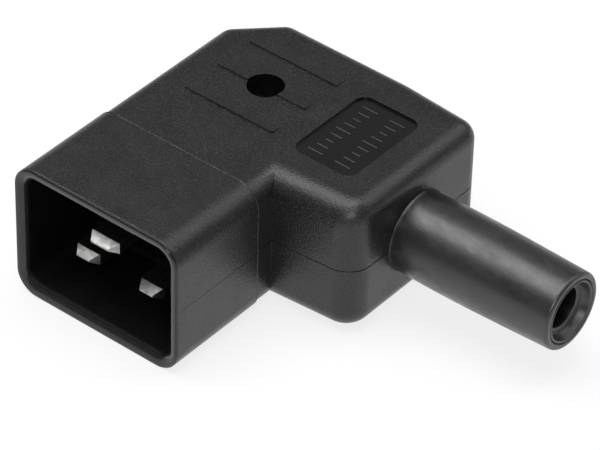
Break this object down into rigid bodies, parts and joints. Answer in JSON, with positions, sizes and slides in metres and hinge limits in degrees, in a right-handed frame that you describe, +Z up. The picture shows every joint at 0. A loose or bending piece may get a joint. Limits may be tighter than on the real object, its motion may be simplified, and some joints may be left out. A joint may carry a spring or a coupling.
{
  "type": "C20-type rewirable plug with side cord exit",
  "caption": "Black angled power plug: rectangular shroud round flat pins, two-part screwed cover, and a straight bend-relief sleeve for a cord at the side.",
  "frame": {"origin": "on the mating axis, in the plane of the shroud's mouth", "axes": "-Y is the way the mouth faces, +X the side where the cord leaves, +Z up with the earth pin in the upper row"},
  "size_m": [0.0781, 0.0573, 0.025],
  "materials": {
    "shroud_plastic": "fine spark-eroded texture, smooth rim",
    "cover_plastic": "fine spark-eroded texture",
    "clamp_plastic": "plain moulded",
    "sleeve_rubber": "smooth, slight sheen",
    "pin_metal": "nickel plated, lightly brushed",
    "screw_steel": "zinc plated"
  },
  "bodies": {
    "root": {"pin_shroud": "shroud_plastic", "line_pin": "pin_metal", "neutral_pin": "pin_metal", "earth_pin": "pin_metal", "line_terminal_screw": "screw_steel", "neutral_terminal_screw": "screw_steel", "earth_terminal_screw": "screw_steel", "upper_housing": "cover_plastic", "lower_housing": "cover_plastic", "bend_relief_sleeve": "sleeve_rubber", "cord_clamp_bar": "clamp_plastic", "cord_clamp_screw_front": "screw_steel", "cord_clamp_screw_rear": "screw_steel", "housing_screw": "screw_steel", "housing_nut": "screw_steel"}
  },
  "joints": []
}
